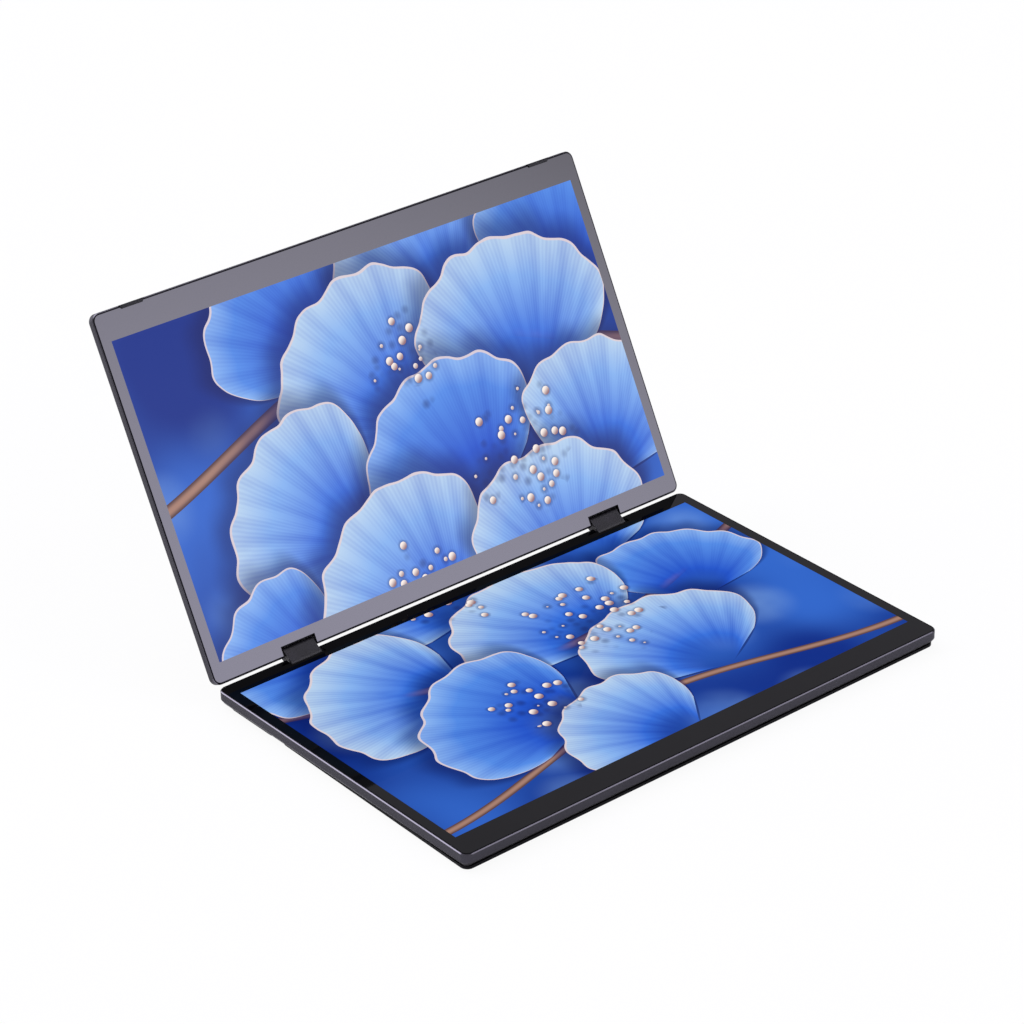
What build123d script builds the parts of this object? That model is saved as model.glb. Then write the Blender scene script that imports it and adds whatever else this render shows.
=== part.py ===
from build123d import *
from math import atan2, cos, degrees, radians, sin
import os

# Dual portable monitor, in millimetres. Each monitor is first made in its own frame: X to the
# right, Y away from the edge that carries the hinges, Z out of the screen, zero on the rim.

# Picture area and outline of each monitor
screen_width = 344.16
screen_height = 193.59
side_border = 7.6
hinge_border = 12.4
far_border = 17.7
corner_radius = 5.0

# How far a cutting shape runs past the faces that it cuts
cut_past = 1.0

# Rear covers
wall = 2.4
floor = 1.2
rim_chamfer = 0.8
rim_width = 1.1
lower_thickness = 8.6
lower_bevel_in = 1.8
lower_bevel_height = 2.7
upper_thickness = 7.0
upper_bevel_in = 2.2
upper_bevel_height = 2.4

# Layers behind the rim
glass_sink = 0.1
glass_thickness = 0.8
glass_gap = 0.15
cell_thickness = 0.9
cell_margin = 1.8
cell_ledge = 4.5
backlight_thickness = 1.6
backlight_margin = 0.5
backlight_corner = 1.0
inner_gap = 0.15
frame_strip = 1.25
flex_thickness = 0.3

# Double-axis hinges
opening_angle = 117.6
hinge_inset = 61.38
axis_inset = 1.9
axis_depth = 3.5
axis_spacing = 8.0
link_radius = 3.3
link_width = 21.6
notch_width = 24.0
notch_depth = 6.5
notch_wall = 1.2
notch_glass_step = 0.3
end_plate = 1.4
middle_wall = 2.0
gear_bay = 7.2
gear_teeth = 13
gear_meshes = 3
gear_width = 6.0
gear_end_gap = 0.6
gear_bay_clearance = 0.2
tooth_root_share = 0.60
tooth_tip_share = 0.22
tooth_tip_height = 0.9
tooth_root_height = 1.15
idler_axle_radius = 0.35
idler_axle_depth = 1.2
idler_axle_end_gap = 0.2
shaft_radius = 1.25
shaft_tail_radius = 1.0
running_gap = 0.05
thread_gap = 0.02
thread_past_nut = 0.6
washer_radius = 2.1
washer_thickness = 0.55
washer_gap = 0.05
washer_count = 4
nut_radius = 2.1
nut_length = 2.4
washer_bay_radius = 2.4
tongue_thickness = 1.2
tongue_width = 2.4
tongue_length = 20.0
bracket_length = 28.0
bracket_depth = 8.7
bracket_thickness = 1.0
bracket_gap = 0.8
bracket_screw_end = 4.0
bracket_screw_row = 4.7
tongue_start_gap = 0.4
tongue_pocket_gap = 1.0
edge_skin = 0.6

# Screws and bosses
screw_radius = 0.7
screw_head_radius = 1.3
screw_head_height = 0.8
screw_hole_gap = 0.05
screw_end_gap = 0.2
bracket_screw_length = 2.2
boss_wall = 1.0
frame_screw_radius = 0.6
frame_screw_head_radius = 1.1
frame_screw_length = 3.8
frame_screw_sink = 0.9
frame_screw_side_places = (24.0, 170.0)
frame_screw_far_inset = 69.68
board_screw_length = 1.6
board_screw_inset = 4.0
leaf_screw_head_height = 0.5
leaf_screw_length = 0.8
plate_screw_length = 1.3

# Sockets, keys and boards in the lower monitor
usb_width = 8.94
usb_height = 3.16
usb_depth = 7.4
usb_shell = 0.3
usb_tongue_width = 6.6
usb_tongue_thickness = 0.7
socket_back = 1.2
socket_tongue_sink = 1.0
usb_place = 92.0
usb_pitch = 16.0
hdmi_width = 11.2
hdmi_height = 3.0
hdmi_depth = 7.4
hdmi_pitch = 18.0
hdmi_tongue_width = 8.0
hdmi_tongue_thickness = 0.6
hdmi_tongue_rise = 0.2
hdmi_side_share = 1 / 3
jack_bore_radius = 1.8
jack_nose_radius = 2.1
jack_width = 6.4
jack_height = 3.8
jack_depth = 14.0
jack_back = 1.0
jack_pitch = 18.0
socket_recess = 1.0
socket_lift = 0.3
socket_hole_gap = 0.25
power_place = 40.0
power_length = 9.0
rocker_pitch = 22.0
rocker_length = 18.0
rocker_flange_length = 8.0
rocker_switch_offset = 6.5
rocker_switch_gap = 0.2
key_height = 2.0
key_gap = 0.25
key_proud = 0.4
key_edge_radius = 0.25
key_flange = 0.7
key_flange_rim = 1.1
key_travel = 0.3
key_rest_gap = 0.15
key_switch_gap = 0.1
key_switch_depth = 2.6
switch_height = 2.0
switch_width = 3.4
switch_tip_radius = 0.6
rocker_bead_radius = 0.5
rocker_rib = 2.0
key_board_margin = 4.0
board_thickness = 0.8
board_standoff = 1.0
board_edge = 7.2
board_before_sockets = 14.0
board_past_jack = 12.0
board_past_cable = 27.52
panel_board_side_inset = 59.68
panel_board_inset = 17.69
panel_board_depth = 16.0
panel_chip_height = 0.6
panel_chip_margin = 3.0
panel_chips = ((30.0, 14.0), (100.0, 9.0), (150.0, 9.0), (205.0, 18.0))
chip_height = 1.2
chips = ((20.0, 30.0, 14.0, 14.0), (45.0, 22.0, 18.0, 18.0), (46.0, 50.0, 10.0, 12.0),
         (22.0, 56.0, 8.0, 8.0), (72.0, 22.0, 9.0, 6.0), (74.0, 42.0, 12.0, 10.0))
display_cable_inset = 19.52
cable_width = 8.0
cable_hinge_gap = 1.1
cable_plug_width = 12.0
cable_plug_depth = 5.0
cable_plug_inset = 3.0
cable_overlap = 6.0
cable_start = 1.0
speaker_hinge_gap = 13.1
speaker_width = 42.0
speaker_depth = 15.0
speaker_corner = 1.5
speaker_slot_count = 7
speaker_slot_pitch = 5.5
speaker_slot_width = 1.0
speaker_slot_length = 3.5

# Rear foot rail, stand and feet under the lower monitor
base_thickness = 2.5
foot_height = 0.5
rail_start = 7.2
rail_end_gap = 3.3
rail_inset = 3.3
rail_corner = 4.0
rail_screw_end = 8.0
rail_screw_bite = 2.0
rail_boss_height = 1.5
foot_start = 10.0
foot_depth = 8.0
foot_corner = 3.5
foot_middle_gap = 44.0
foot_side_inset = 6.68
stand_gap = 0.3
stand_start_gap = 0.8
stand_front_inset = 1.2
stand_front_corner = 5.0
stand_rear_corner = 8.0
stand_edge_chamfer = 0.4
stand_recess_depth = 1.0
stand_recess_margin = 12.0
stand_recess_start = 24.0
stand_recess_corner = 4.0
stand_recess_count = 4
stand_rib_width = 6.0
stand_foot_margin = 9.0
stand_foot_side_inset = 19.68
stand_axis_place = 52.2
stand_axis_height = 1.7
stand_pin_radius = 0.8
stand_hinge_inset = 69.68
stand_hinge_width = 40.0
stand_knuckle_width = 7.0
stand_knuckle_gap = 0.3
stand_leaf_thickness = 1.0
stand_leaf_back = 7.7
stand_leaf_front = 18.8
stand_leaf_web = 0.5
stand_leaf_screw_row = 2.4
stand_leaf_screw_offset = 14.0
stand_plate_screw_offset = 9.0
stand_plate_screw_rows = (7.8, 15.8)
stand_moving_leaf_thickness = 0.8
stand_pocket_height = 1.8
stand_pocket_gap = 1.2

# Rubber stop pads in the rim of the upper monitor
pad_inset = 27.78
pad_outer_length = 16.5
pad_inner_length = 14.0
pad_depth = 2.1
pad_rest_gap = 0.2
pad_bulge = 0.15
pad_gap = 0.1

# Sizes that follow from those above
outer_width = screen_width + 2 * side_border
outer_depth = hinge_border + screen_height + far_border
half_width = outer_width / 2
hinge_offset = half_width - hinge_inset
stand_hinge_offset = half_width - stand_hinge_inset
glass_back = -glass_sink - glass_thickness
cell_back = glass_back - cell_thickness
backlight_back = cell_back - backlight_thickness
cable_back = backlight_back - flex_thickness
lower_floor_top = -lower_thickness + floor
board_back = lower_floor_top + board_standoff
board_front = board_back + board_thickness
usb_places = (usb_place, usb_place + usb_pitch)
hdmi_place = usb_places[1] + hdmi_pitch
jack_place = hdmi_place + jack_pitch
rocker_place = power_place + rocker_pitch
board_places = (usb_place - board_before_sockets, jack_place + board_past_jack)
notch_reach = notch_width / 2 + notch_wall
link_cable_place = hinge_offset - notch_reach - cable_hinge_gap - cable_width / 2
board_inner_edge = link_cable_place - board_past_cable
display_cable_place = board_inner_edge + display_cable_inset
panel_board_places = (outer_depth - panel_board_inset - panel_board_depth,
                      outer_depth - panel_board_inset)
speaker_place = hinge_offset - notch_reach - speaker_hinge_gap - speaker_width / 2
rail_end = stand_axis_place - rail_end_gap
foot_span = (foot_middle_gap / 2, half_width - foot_side_inset)
jack_middle = (backlight_back + lower_floor_top) / 2
socket_middle = jack_middle + socket_lift
base_top = -lower_thickness
base_bottom = base_top - base_thickness
ground = base_bottom - foot_height
half_link = link_width / 2
gear_start = half_link - end_plate - gear_bay + gear_end_gap
gear_end = gear_start + gear_width
middle_wall_end = half_link - end_plate - gear_bay
middle_wall_start = middle_wall_end - middle_wall
gear_spacing = axis_spacing / gear_meshes
gear_radius = gear_spacing / 2
gear_module = gear_spacing / gear_teeth
gear_tip_radius = gear_radius + tooth_tip_height * gear_module
gear_root_radius = gear_radius - tooth_root_height * gear_module
tongue_start = notch_reach + tongue_start_gap
bracket_start = notch_reach + bracket_gap
bracket_top = -axis_depth - tongue_thickness / 2
stand_axis_z = base_bottom + stand_axis_height
stand_start = stand_axis_place + stand_start_gap
stand_end = outer_depth - stand_front_inset
stand_top = base_top - stand_gap
pocket_top = base_top + stand_pocket_height
pad_proud = axis_spacing - 2 * axis_depth - pad_rest_gap


# Shapes used throughout

def block(x, y, z, corner=0.0):
    """Block between the (low, high) pairs x, y and z, its upright edges rounded by corner."""
    width = x[1] - x[0]
    depth = y[1] - y[0]
    outline = RectangleRounded(width, depth, corner) if corner else Rectangle(width, depth)
    return extrude(Pos((x[0] + x[1]) / 2, (y[0] + y[1]) / 2, z[0]) * outline, z[1] - z[0])


def post(x, y, z, radius):
    """Upright round bar at the point x, y between the pair z."""
    bar = Cylinder(radius, z[1] - z[0], align=(Align.CENTER, Align.CENTER, Align.MIN))
    return Pos(x, y, z[0]) * bar


def rod(x, y, z, radius):
    """Round bar along X between the pair x, centred on the point y, z."""
    bar = Cylinder(radius, x[1] - x[0], align=(Align.CENTER, Align.CENTER, Align.MIN))
    return Pos(x[0], y, z) * Rot(0, 90, 0) * bar


def across(x, outline):
    """Outline drawn in the Y-Z plane, pushed along X between the pair x."""
    return extrude(Plane.YZ.offset(x[0]) * outline, x[1] - x[0])


def screw(x, y, seat, length, head_radius=screw_head_radius, radius=screw_radius,
          head_height=screw_head_height):
    """Screw that points down, its head resting on the height seat."""
    head = post(x, y, (seat, seat + head_height), head_radius)
    return head + post(x, y, (seat - length, seat), radius)


def both_sides(shape):
    """The shape and its mirror image on the other side, as separate solids."""
    return [shape, mirror(shape, Plane.YZ)]


def slot_face(length, height):
    """Upright slot-shaped outline with round ends, longer along its first axis."""
    return SlotOverall(length, height)


# The layers that both monitors share

def monitor_outline(inset, corner):
    """Rounded outline of a monitor, drawn in by inset on all four edges."""
    outline = RectangleRounded(outer_width - 2 * inset, outer_depth - 2 * inset, corner)
    return Pos(0, outer_depth / 2) * outline


def notch_block(grow_x, grow_y, z):
    """Space of one hinge notch on the right, grown along X and Y, between the pair z."""
    reach = notch_width / 2 + grow_x
    return block((hinge_offset - reach, hinge_offset + reach),
                 (-cut_past, notch_depth + grow_y), z)


def frame_screw_places():
    """Where the mid frame is screwed to the rear cover."""
    side = half_width - wall - inner_gap - frame_bar_width() / 2
    far = outer_depth - wall - inner_gap - frame_far_bar_width() / 2
    sides = [(s * side, place) for s in (-1, 1) for place in frame_screw_side_places]
    return sides + [(s * (half_width - frame_screw_far_inset), far) for s in (-1, 0, 1)]


def backlight_outline(grow=0.0):
    """Pairs along X and Y of the backlight unit, grown by a gap."""
    margin = cell_margin + backlight_margin + grow
    reach = screen_width / 2 + margin
    far = hinge_border + screen_height + cell_ledge + backlight_margin + grow
    return (-reach, reach), (hinge_border - margin, far)


def frame_bar_width():
    """Width of the mid frame's side bars."""
    return half_width - wall - inner_gap - backlight_outline(inner_gap)[0][1]


def frame_far_bar_width():
    """Width of the mid frame's bar along the free edge."""
    return outer_depth - wall - inner_gap - backlight_outline(inner_gap)[1][1]


def bracket_screw_places():
    """Screw places of the right hinge bracket."""
    middle = hinge_offset + bracket_start + bracket_length / 2
    step = bracket_length / 2 - bracket_screw_end
    return [(middle + shift, axis_inset + bracket_screw_row) for shift in (-step, 0, step)]


def rear_cover(thickness, bevel_in, bevel_height):
    """Metal tray: side walls, bevelled back, hinge notches and the bosses in it."""
    bevel_top = -thickness + bevel_height
    middle = extrude(Pos(0, 0, bevel_top) * monitor_outline(0, corner_radius),
                     -bevel_top - rim_chamfer)
    top = extrude(Pos(0, 0, -rim_chamfer) * monitor_outline(0, corner_radius),
                  rim_chamfer, taper=45)
    bevel = extrude(Pos(0, 0, bevel_top) * monitor_outline(0, corner_radius), bevel_height,
                    dir=(0, 0, -1), taper=degrees(atan2(bevel_in, bevel_height)))
    tray = middle + top + bevel
    tray -= extrude(Pos(0, 0, glass_back) * monitor_outline(rim_width, corner_radius - rim_width),
                    cut_past - glass_back)
    tray -= extrude(Pos(0, 0, floor - thickness) * monitor_outline(wall, corner_radius - wall),
                    thickness - floor + glass_back)
    floor_top = floor - thickness
    for x, y in frame_screw_places():
        tray += post(x, y, (floor_top, backlight_back), frame_screw_radius + boss_wall)
        tray -= post(x, y, (floor_top, backlight_back), frame_screw_radius + screw_hole_gap)
    walls = notch_block(notch_wall, notch_wall, (-thickness + bevel_height, glass_back))
    walls &= extrude(Pos(0, 0, -thickness) * monitor_outline(wall / 2, corner_radius - wall / 2),
                     thickness)
    walls += notch_block(notch_wall, notch_wall, (floor_top, glass_back)) & block(
        (0, half_width), (wall, notch_depth + notch_wall), (-thickness, 0))
    bosses = [post(x, y, (floor_top, bracket_top - bracket_thickness), screw_radius + boss_wall)
              for x, y in bracket_screw_places()]
    for added in both_sides(Part() + [walls] + bosses):
        tray += added
    cuts = [notch_block(0, 0, (-thickness - cut_past, cut_past)), wall_pocket(), shaft_hole()]
    cuts += [post(x, y, (bracket_top - bracket_screw_length - screw_end_gap, bracket_top),
                  screw_radius + screw_hole_gap) for x, y in bracket_screw_places()]
    for cut in both_sides(Part() + cuts):
        tray -= cut
    return tray


def wall_pocket():
    """Room for the shaft tongue and the bracket in the wall at the hinge edge, on the right."""
    start = hinge_offset + notch_reach
    return block((start, start + bracket_length + 2 * bracket_gap), (edge_skin, wall + inner_gap),
                 (bracket_top - bracket_thickness - screw_end_gap,
                  bracket_top + tongue_thickness + tongue_pocket_gap))


def shaft_hole():
    """Hole for the hinge shaft through the outer wall of the right notch."""
    start = hinge_offset + notch_width / 2 - cut_past
    return rod((start, start + notch_wall + 2 * cut_past), axis_inset, -axis_depth,
               shaft_radius + running_gap)


def mid_frame():
    """Plastic ring between the rear cover and the panel, cut back beside the hinges."""
    outer = extrude(Pos(0, 0, backlight_back)
                    * monitor_outline(wall + inner_gap, corner_radius - wall - inner_gap),
                    glass_back - backlight_back)
    ring = outer - block(*backlight_outline(inner_gap), (backlight_back - cut_past, 0))
    strip = backlight_outline(inner_gap)[1][0] - frame_strip
    reach = bracket_start + bracket_length + bracket_gap
    cut = block((hinge_offset - notch_reach - inner_gap, hinge_offset + reach),
                (0, strip), (backlight_back - cut_past, 0))
    for side in both_sides(cut):
        ring -= side
    for x, y in frame_screw_places():
        ring -= post(x, y, (backlight_back - cut_past, 0), frame_screw_radius + screw_hole_gap)
        ring -= post(x, y, (glass_back - frame_screw_sink, 0),
                     frame_screw_head_radius + screw_hole_gap)
    return ring


def mid_frame_screws():
    """Screws that hold the mid frame to the rear cover."""
    return [screw(x, y, glass_back - frame_screw_sink, frame_screw_length - frame_screw_sink,
                  frame_screw_head_radius, frame_screw_radius) for x, y in frame_screw_places()]


def cover_glass():
    """Glass over the whole front, notched at the hinges."""
    inset = rim_width + glass_gap
    glass = extrude(Pos(0, 0, glass_back) * monitor_outline(inset, corner_radius - inset),
                    glass_thickness)
    for cut in both_sides(notch_block(notch_glass_step, notch_glass_step,
                                      (glass_back - cut_past, cut_past))):
        glass -= cut
    return glass


def display_cell():
    """Two glass sheets of the display, the rear one longer at the free edge."""
    reach = screen_width / 2 + cell_margin
    start = hinge_border - cell_margin
    end = hinge_border + screen_height
    middle = (glass_back + cell_back) / 2
    front = block((-reach, reach), (start, end + cell_margin), (middle, glass_back))
    return front + block((-reach, reach), (start, end + cell_ledge), (cell_back, middle))


def backlight():
    """Backlight unit behind the display cell."""
    return block(*backlight_outline(), (backlight_back, cell_back), backlight_corner)


def panel_board():
    """Timing board behind the backlight, with its chips."""
    half = half_width - panel_board_side_inset
    back = cable_back - board_thickness
    board = block((-half, half), panel_board_places, (back, cable_back))
    start, end = panel_board_places
    for x, width in panel_chips:
        board += block((x - half, x - half + width),
                       (start + panel_chip_margin, end - panel_chip_margin),
                       (back - panel_chip_height, back))
    return board


def hinge_bracket():
    """Steel plate that carries the right shaft's tongue, screwed to the rear cover."""
    start = hinge_offset + bracket_start
    plate = block((start, start + bracket_length), (bracket_gap, bracket_gap + bracket_depth),
                  (bracket_top - bracket_thickness, bracket_top))
    for x, y in bracket_screw_places():
        plate -= post(x, y, (bracket_top - bracket_thickness, bracket_top),
                      screw_radius + screw_hole_gap)
    return plate


def bracket_screws():
    """Screws of both hinge brackets."""
    right = [screw(x, y, bracket_top, bracket_screw_length) for x, y in bracket_screw_places()]
    return [solid for one in right for solid in both_sides(one)]


# Hinge parts that turn in the links

def gear_outline(phase):
    """Spur gear outline with a tooth at the angle phase, in degrees."""
    points = []
    step = 360 / gear_teeth
    flanks = ((gear_root_radius, -tooth_root_share / 2), (gear_tip_radius, -tooth_tip_share / 2),
              (gear_tip_radius, tooth_tip_share / 2), (gear_root_radius, tooth_root_share / 2))
    for tooth in range(gear_teeth):
        for radius, share in flanks:
            angle = radians(phase + (tooth + share) * step)
            points.append((radius * cos(angle), radius * sin(angle)))
    return make_face(Polyline(*points, close=True))


def nut_end():
    """Where the nuts press on the washers."""
    return middle_wall_start - running_gap - washer_count * (washer_thickness + washer_gap)


def hinge_shaft(tooth_shift):
    """Right hinge shaft of a monitor: threaded tail, gear teeth, round neck and flat tongue."""
    phase = 90 + opening_angle / 2 + tooth_shift * 360 / gear_teeth
    tail_start = nut_end() - nut_length - thread_past_nut
    teeth = across((gear_start, gear_end), Pos(axis_inset, -axis_depth) * gear_outline(phase))
    tail = rod((tail_start, gear_start), axis_inset, -axis_depth, shaft_tail_radius)
    neck = rod((gear_end, tongue_start), axis_inset, -axis_depth, shaft_radius)
    tongue = block((tongue_start, tongue_start + tongue_length),
                   (axis_inset - tongue_width / 2, axis_inset + tongue_width / 2),
                   (-axis_depth - tongue_thickness / 2, -axis_depth + tongue_thickness / 2))
    return Pos(hinge_offset, 0, 0) * (tail + teeth + neck + tongue)


def spring_washers():
    """Washers stacked on the right shaft's tail, against the link's middle wall."""
    washers = []
    for place in range(washer_count):
        end = middle_wall_start - running_gap - place * (washer_thickness + washer_gap)
        span = (end - washer_thickness, end)
        ring = rod(span, axis_inset, -axis_depth, washer_radius)
        ring -= rod(span, axis_inset, -axis_depth, shaft_tail_radius + thread_gap)
        washers.append(Pos(hinge_offset, 0, 0) * ring)
    return washers


def shaft_nut():
    """Nut that squeezes the washers on the right shaft."""
    span = (nut_end() - nut_length, nut_end())
    nut = across(span, Pos(axis_inset, -axis_depth) * RegularPolygon(nut_radius, 6))
    nut -= rod(span, axis_inset, -axis_depth, shaft_tail_radius + thread_gap)
    return Pos(hinge_offset, 0, 0) * nut


# Hinge links, in a frame with Y from the lower axis to the upper one

def link_slot(radius):
    """Slot outline round both hinge axes."""
    return Pos(axis_spacing / 2, 0) * SlotCenterToCenter(axis_spacing, 2 * radius)


def idler_places():
    """Distance of each idler gear from the lower axis."""
    return gear_spacing, 2 * gear_spacing


def link_housing():
    """Right link: a bar with a bay for the washers, a middle wall and a bay for the gears."""
    case = across((-half_link + end_plate, half_link - end_plate), link_slot(link_radius))
    case -= across((-half_link, middle_wall_start), link_slot(washer_bay_radius))
    case -= across((middle_wall_end, half_link),
                   link_slot(gear_tip_radius + gear_bay_clearance))
    for place in (0, axis_spacing):
        case -= rod((-half_link, half_link), place, 0, shaft_tail_radius + running_gap)
    for place in idler_places():
        case -= rod((middle_wall_end - idler_axle_depth - idler_axle_end_gap, half_link), place, 0,
                    idler_axle_radius + running_gap)
    return Pos(hinge_offset, 0, 0) * case


def link_plates():
    """The plates that close both ends of the right link."""
    inner = across((-half_link, -half_link + end_plate), link_slot(link_radius))
    outer = across((half_link - end_plate, half_link), link_slot(link_radius))
    for place in (0, axis_spacing):
        outer -= rod((0, half_link + cut_past), place, 0, shaft_radius + running_gap)
    for place in idler_places():
        outer -= rod((0, half_link + cut_past), place, 0, idler_axle_radius + running_gap)
    return [Pos(hinge_offset, 0, 0) * inner, Pos(hinge_offset, 0, 0) * outer]


def idler_gear(place):
    """Right idler gear with its axle ends, a gap between teeth facing the lower axis."""
    teeth = across((gear_start, gear_end), gear_outline(0))
    axle = rod((middle_wall_end - idler_axle_depth, half_link - 2 * idler_axle_end_gap), 0, 0,
               idler_axle_radius)
    return Pos(hinge_offset, place, 0) * (teeth + axle)


# Lower monitor: sockets, keys and boards. Its right side is at negative X in its own frame.

def wall_hole(outline, place, z):
    """Outline cut through the socket wall."""
    return across((-half_width - cut_past, -half_width + wall + inner_gap),
                  Pos(place, z) * outline)


def socket_solid(outline, place, z, depth):
    """Outline pushed inwards from just behind the outer face of the socket wall."""
    start = -half_width + socket_recess
    return across((start, start + depth), Pos(place, z) * outline)


def socket_tongue(place, width, thickness, z, depth):
    """Flat tongue that carries a socket's contacts."""
    start = -half_width + socket_recess
    return block((start + socket_tongue_sink, start + depth), (place - width / 2, place + width / 2),
                 (z - thickness / 2, z + thickness / 2))


def usb_socket(place):
    """USB type C socket with its tongue."""
    shell = socket_solid(slot_face(usb_width, usb_height), place, socket_middle, usb_depth)
    mouth = socket_solid(slot_face(usb_width - 2 * usb_shell, usb_height - 2 * usb_shell),
                         place, socket_middle, usb_depth - socket_back)
    return shell - mouth + socket_tongue(place, usb_tongue_width, usb_tongue_thickness,
                                         socket_middle, usb_depth)


def hdmi_outline(grow):
    """Mini HDMI outline, narrower at its back edge."""
    half = hdmi_width / 2 + grow
    height = hdmi_height / 2 + grow
    shoulder = height * hdmi_side_share
    return make_face(Polyline((-half, height), (half, height), (half, -shoulder),
                              (half - height, -height), (height - half, -height),
                              (-half, -shoulder), close=True))


def hdmi_socket():
    """Mini HDMI socket with its tongue."""
    shell = socket_solid(hdmi_outline(0), hdmi_place, socket_middle, hdmi_depth)
    mouth = socket_solid(hdmi_outline(-usb_shell), hdmi_place, socket_middle,
                         hdmi_depth - socket_back)
    return shell - mouth + socket_tongue(hdmi_place, hdmi_tongue_width, hdmi_tongue_thickness,
                                         socket_middle + hdmi_tongue_rise, hdmi_depth)


def audio_jack():
    """Jack for a 3.5 mm plug, its nose in the socket wall."""
    start = -half_width + socket_recess
    inside = -half_width + wall + inner_gap
    body = block((inside, start + jack_depth),
                 (jack_place - jack_width / 2, jack_place + jack_width / 2),
                 (jack_middle - jack_height / 2, jack_middle + jack_height / 2))
    body += rod((start, inside), jack_place, jack_middle, jack_nose_radius)
    return body - rod((start, start + jack_depth - jack_back), jack_place, jack_middle,
                      jack_bore_radius)


def key_inside():
    """Place of the front of the keys' flanges."""
    return -half_width + wall + key_rest_gap


def key_flange_height():
    """Height of the keys' flanges."""
    return key_height + key_flange_rim


def key_cap(place, length, flange_length):
    """Key that shows in the wall, with a flange inside that keeps it in."""
    face = across((-half_width - key_proud, key_inside() + key_flange),
                  Pos(place, socket_middle) * slot_face(length, key_height))
    flange = across((key_inside(), key_inside() + key_flange),
                    Pos(place, socket_middle) * Rectangle(flange_length, key_flange_height()))
    return fillet(face.faces().sort_by(Axis.X)[0].edges(), key_edge_radius) + flange


def power_button():
    """Power button."""
    return key_cap(power_place, power_length, power_length + key_flange_rim)


def rocker_pivot(radius):
    """Upright bar of this radius on the line that the rocker tilts about."""
    return post(key_inside() + key_flange, rocker_place,
                (socket_middle - key_height / 2, socket_middle + key_height / 2), radius)


def menu_rocker():
    """Menu rocker: a short flange lets either end go in, and it tilts on a bead at its back."""
    return key_cap(rocker_place, rocker_length, rocker_flange_length) + rocker_pivot(
        rocker_bead_radius)


def key_switches():
    """Place of each switch, and the gap between its tip and the key."""
    return ((power_place, key_travel + key_switch_gap),
            (rocker_place - rocker_switch_offset, rocker_switch_gap),
            (rocker_place + rocker_switch_offset, rocker_switch_gap))


def key_board():
    """Upright board with a push switch behind each key end and a grooved rib for the rocker."""
    back = key_inside() + key_flange
    front = back + key_travel + key_switch_gap + key_switch_depth
    board = block((front, front + board_thickness),
                  (power_place - power_length / 2 - key_board_margin,
                   rocker_place + rocker_length / 2 + key_board_margin),
                  (lower_floor_top, backlight_back - inner_gap))
    for place, gap in key_switches():
        board += block((front - switch_height, front),
                       (place - switch_width / 2, place + switch_width / 2),
                       (socket_middle - key_flange_height() / 2,
                        socket_middle + key_flange_height() / 2))
        board += rod((back + gap, front), place, socket_middle, switch_tip_radius)
    board += block((back + key_switch_gap, front),
                   (rocker_place - rocker_rib / 2, rocker_place + rocker_rib / 2),
                   (socket_middle - key_height / 2, socket_middle + key_height / 2))
    return board - rocker_pivot(rocker_bead_radius + running_gap)


def board_outline():
    """Pairs along X and Y of the main board."""
    return (-half_width + board_edge, -board_inner_edge), board_places


def board_screw_places():
    """Screw places near the corners of the main board."""
    x, y = board_outline()
    return [(a, b) for a in (x[0] + board_screw_inset, x[1] - board_screw_inset)
            for b in (y[0] + board_screw_inset, y[1] - board_screw_inset)]


def socket_bays():
    """Cut-outs in the main board for the sunk sockets."""
    reach = -half_width + socket_recess
    bays = [(place, usb_width, usb_depth) for place in usb_places]
    bays += [(hdmi_place, hdmi_width, hdmi_depth), (jack_place, jack_width, jack_depth)]
    return [block((-half_width, reach + depth + inner_gap),
                  (place - width / 2 - inner_gap, place + width / 2 + inner_gap),
                  (board_back, board_front)) for place, width, depth in bays]


def main_board():
    """Scaler and power board with cut-outs for the sockets and two cable connectors."""
    board = block(*board_outline(), (board_back, board_front))
    for bay in socket_bays():
        board -= bay
    for x, y in board_screw_places():
        board -= post(x, y, (board_back, board_front), screw_radius + screw_hole_gap)
    board += cable_plug(display_cable_place, board_places[1] - cable_plug_inset - cable_plug_depth)
    return board + cable_plug(link_cable_place, board_places[0] + cable_plug_inset)


def cable_plug(place, start):
    """Plug of a flat cable on the main board."""
    return block((-place - cable_plug_width / 2, -place + cable_plug_width / 2),
                 (start, start + cable_plug_depth), (board_front, cable_back))


def main_board_chips():
    """Chips, coils and a shield can on the main board."""
    left, start = -half_width + board_edge, board_places[0]
    return [block((left + x, left + x + width), (start + y, start + y + depth),
                  (board_front, board_front + chip_height)) for x, y, width, depth in chips]


def main_board_screws():
    """Screws of the main board."""
    return [screw(x, y, board_front, board_screw_length) for x, y in board_screw_places()]


def flat_cable(x, start, end):
    """Flat cable against the backlight, centred on x, from start to end along Y."""
    return block((x - cable_width / 2, x + cable_width / 2), (start, end),
                 (cable_back, backlight_back))


def display_cable():
    """Flat cable from the main board to the lower panel board."""
    return flat_cable(-display_cable_place, board_places[1] - cable_plug_inset - cable_plug_depth,
                      panel_board_places[0] + cable_overlap)


def link_cable():
    """Flat cable from the main board to the right hinge."""
    return flat_cable(-link_cable_place, backlight_outline()[1][0] + cable_start,
                      board_places[0] + cable_plug_inset + cable_plug_depth)


def signal_cable():
    """Flat cable from the right hinge to the upper panel board."""
    return flat_cable(link_cable_place, backlight_outline()[1][0] + cable_start,
                      panel_board_places[0] + cable_overlap)


def speaker():
    """Speaker box on the right, with its mouth at the hinge edge."""
    reach = speaker_width / 2
    return block((speaker_place - reach, speaker_place + reach),
                 (wall + inner_gap, wall + inner_gap + speaker_depth),
                 (lower_floor_top, backlight_back - inner_gap), speaker_corner)


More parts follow.
